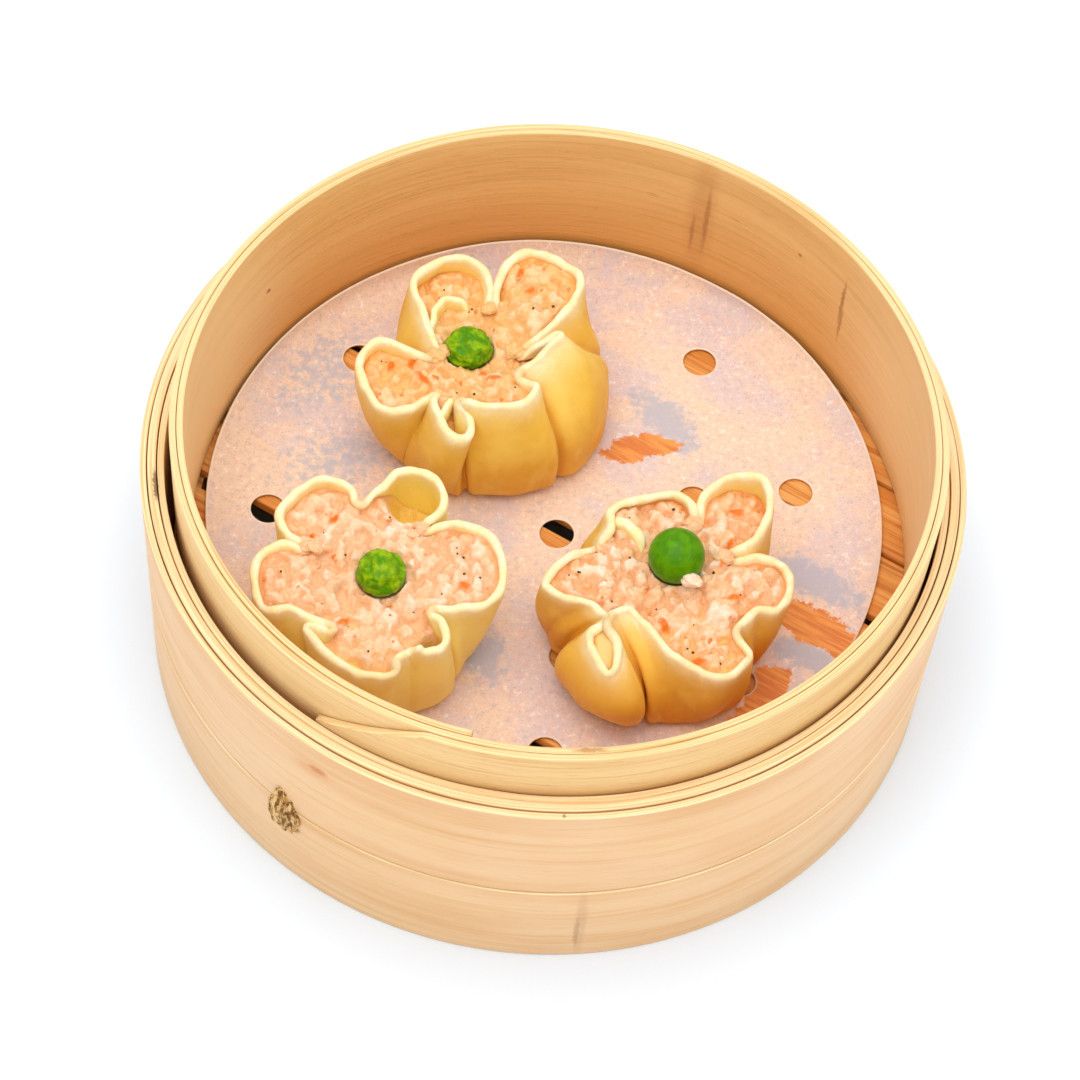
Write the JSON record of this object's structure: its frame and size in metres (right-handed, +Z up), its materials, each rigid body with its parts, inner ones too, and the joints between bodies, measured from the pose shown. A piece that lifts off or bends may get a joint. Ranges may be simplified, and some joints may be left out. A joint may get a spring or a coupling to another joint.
{
  "type": "shumai in a bamboo steamer basket",
  "caption": "Open-topped shumai with ruffled dough, pink filling and a green pea on top, on a punched paper liner in a round open bamboo steamer basket.",
  "frame": {"origin": "centre of the basket's underside, on the surface it stands on", "axes": "+Z up; -Y towards the knot and the cut end of the inner hoop, which face the viewer; +X to the viewer's right"},
  "size_m": [0.15, 0.15, 0.063],
  "materials": {
    "bamboo_pale": "smooth bare bamboo",
    "bamboo_inside": "smooth bare bamboo, warmer inside",
    "bamboo_floor": "grooved bare bamboo",
    "bamboo_knot": "rough torn grain",
    "paper": "matt, damp in places",
    "dough": "satin steamed dough",
    "filling": "moist minced filling",
    "pea": "moist green skin"
  },
  "bodies": {
    "root": {"band_upper": "bamboo_pale", "band_lower": "bamboo_pale", "band_core": "bamboo_pale", "band_liner": "bamboo_pale", "inner_hoop": "bamboo_inside", "slat_1": "bamboo_floor", "slat_2": "bamboo_floor", "slat_3": "bamboo_floor", "slat_4": "bamboo_floor", "slat_5": "bamboo_floor", "slat_6": "bamboo_floor", "slat_7": "bamboo_floor", "slat_8": "bamboo_floor", "slat_9": "bamboo_floor", "slat_10": "bamboo_floor", "floor_ledge": "bamboo_floor", "floor_bar_1": "bamboo_floor", "floor_bar_2": "bamboo_floor", "band_knot": "bamboo_knot", "paper_liner": "paper", "wrapper_back": "dough", "wrapper_left": "dough", "wrapper_right": "dough", "filling_back": "filling", "filling_left": "filling", "filling_right": "filling", "pea_back": "pea", "pea_left": "pea", "pea_right": "pea"}
  },
  "joints": []
}
